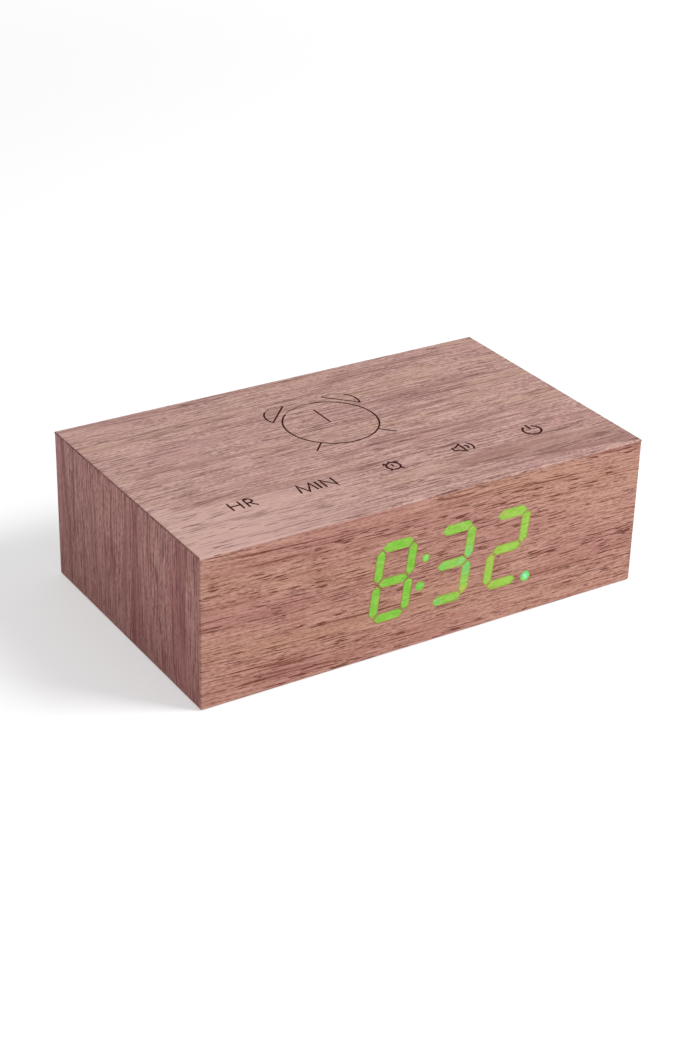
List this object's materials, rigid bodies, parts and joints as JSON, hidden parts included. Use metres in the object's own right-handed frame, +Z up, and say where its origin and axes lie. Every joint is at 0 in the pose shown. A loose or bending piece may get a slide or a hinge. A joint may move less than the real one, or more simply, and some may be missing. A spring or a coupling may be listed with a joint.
{
  "type": "alarm clock",
  "caption": "Flip-over alarm clock in a veneered wooden block, with digits that shine through the wood, touch keys on top and a charging socket.",
  "frame": {"origin": "middle of the underside, on the surface that the clock stands on", "axes": "+X along the length, to the right of the display as it is read; -Y is the display face; +Z is up"},
  "size_m": [0.15, 0.09, 0.048],
  "materials": {
    "walnut_veneer": "satin oiled walnut veneer",
    "fibreboard": "bare medium-density fibreboard",
    "pine_block": "sawn softwood",
    "zinc_steel": "zinc-plated steel",
    "black_plastic": "moulded black plastic",
    "white_plastic": "moulded white plastic",
    "diffuser": "cast milky light guide",
    "circuit_board": "green solder mask",
    "chip_black": "moulded chip resin",
    "led_chip": "phosphor over a pale body",
    "pin_gold": "gold-flashed pins",
    "copper_pad": "bare copper",
    "film": "double-sided adhesive film",
    "ribbon": "flat flexible cable",
    "battery_wrap": "shrunk battery sleeve",
    "nickel": "nickel-plated spring metal",
    "bright_steel": "plated steel",
    "aluminium_can": "drawn aluminium",
    "red_lead": "red insulated wire",
    "black_lead": "black insulated wire",
    "resistor": "glazed chip resistor"
  },
  "bodies": {
    "clock_body": {"top_veneer": "walnut_veneer", "bottom_veneer": "walnut_veneer", "front_veneer": "walnut_veneer", "left_end_veneer": "walnut_veneer", "right_end_veneer": "walnut_veneer", "rear_edge_banding": "walnut_veneer", "rear_veneer": "walnut_veneer", "top_board": "fibreboard", "bottom_board": "fibreboard", "front_board": "fibreboard", "left_end_board": "fibreboard", "right_end_board": "fibreboard", "rear_board": "fibreboard", "corner_blocks": "pine_block", "rear_cover_screws": "zinc_steel", "display_housing": "white_plastic", "segment_diffusers": "diffuser", "display_board": "circuit_board", "segment_leds": "led_chip", "housing_screws": "zinc_steel", "main_board": "circuit_board", "board_pillars": "black_plastic", "board_screws": "zinc_steel", "display_pins": "pin_gold", "pin_headers": "black_plastic", "controller_chip": "chip_black", "driver_chip": "chip_black", "clock_crystal": "bright_steel", "capacitors": "aluminium_can", "board_resistors": "resistor", "buzzer": "black_plastic", "power_socket": "white_plastic", "power_plug": "white_plastic", "switch_can": "bright_steel", "switch_base": "black_plastic", "switch_wires": "pin_gold", "touch_film": "film", "touch_pads": "copper_pad", "touch_board": "circuit_board", "touch_chip": "chip_black", "touch_ribbon": "ribbon", "ribbon_socket": "white_plastic", "battery_holder": "black_plastic", "holder_screws": "zinc_steel", "battery_cell": "battery_wrap", "battery_contacts": "nickel", "charge_board": "circuit_board", "charge_pillars": "black_plastic", "charge_screws": "zinc_steel", "port_shell": "bright_steel", "port_tongue": "black_plastic", "charge_chip": "chip_black", "microphone": "aluminium_can", "battery_plus_lead": "red_lead", "battery_minus_lead": "black_lead", "power_plus_lead": "red_lead", "power_minus_lead": "black_lead", "microphone_leads": "black_lead"},
    "tilt_ball": {"switch_ball": "bright_steel"}
  },
  "joints": [
    {"name": "flip_switch_slide", "type": "slide", "parent": "clock_body", "child": "tilt_ball", "axis": [0, 0, 1], "range_m": [0, 0.00484]}
  ]
}
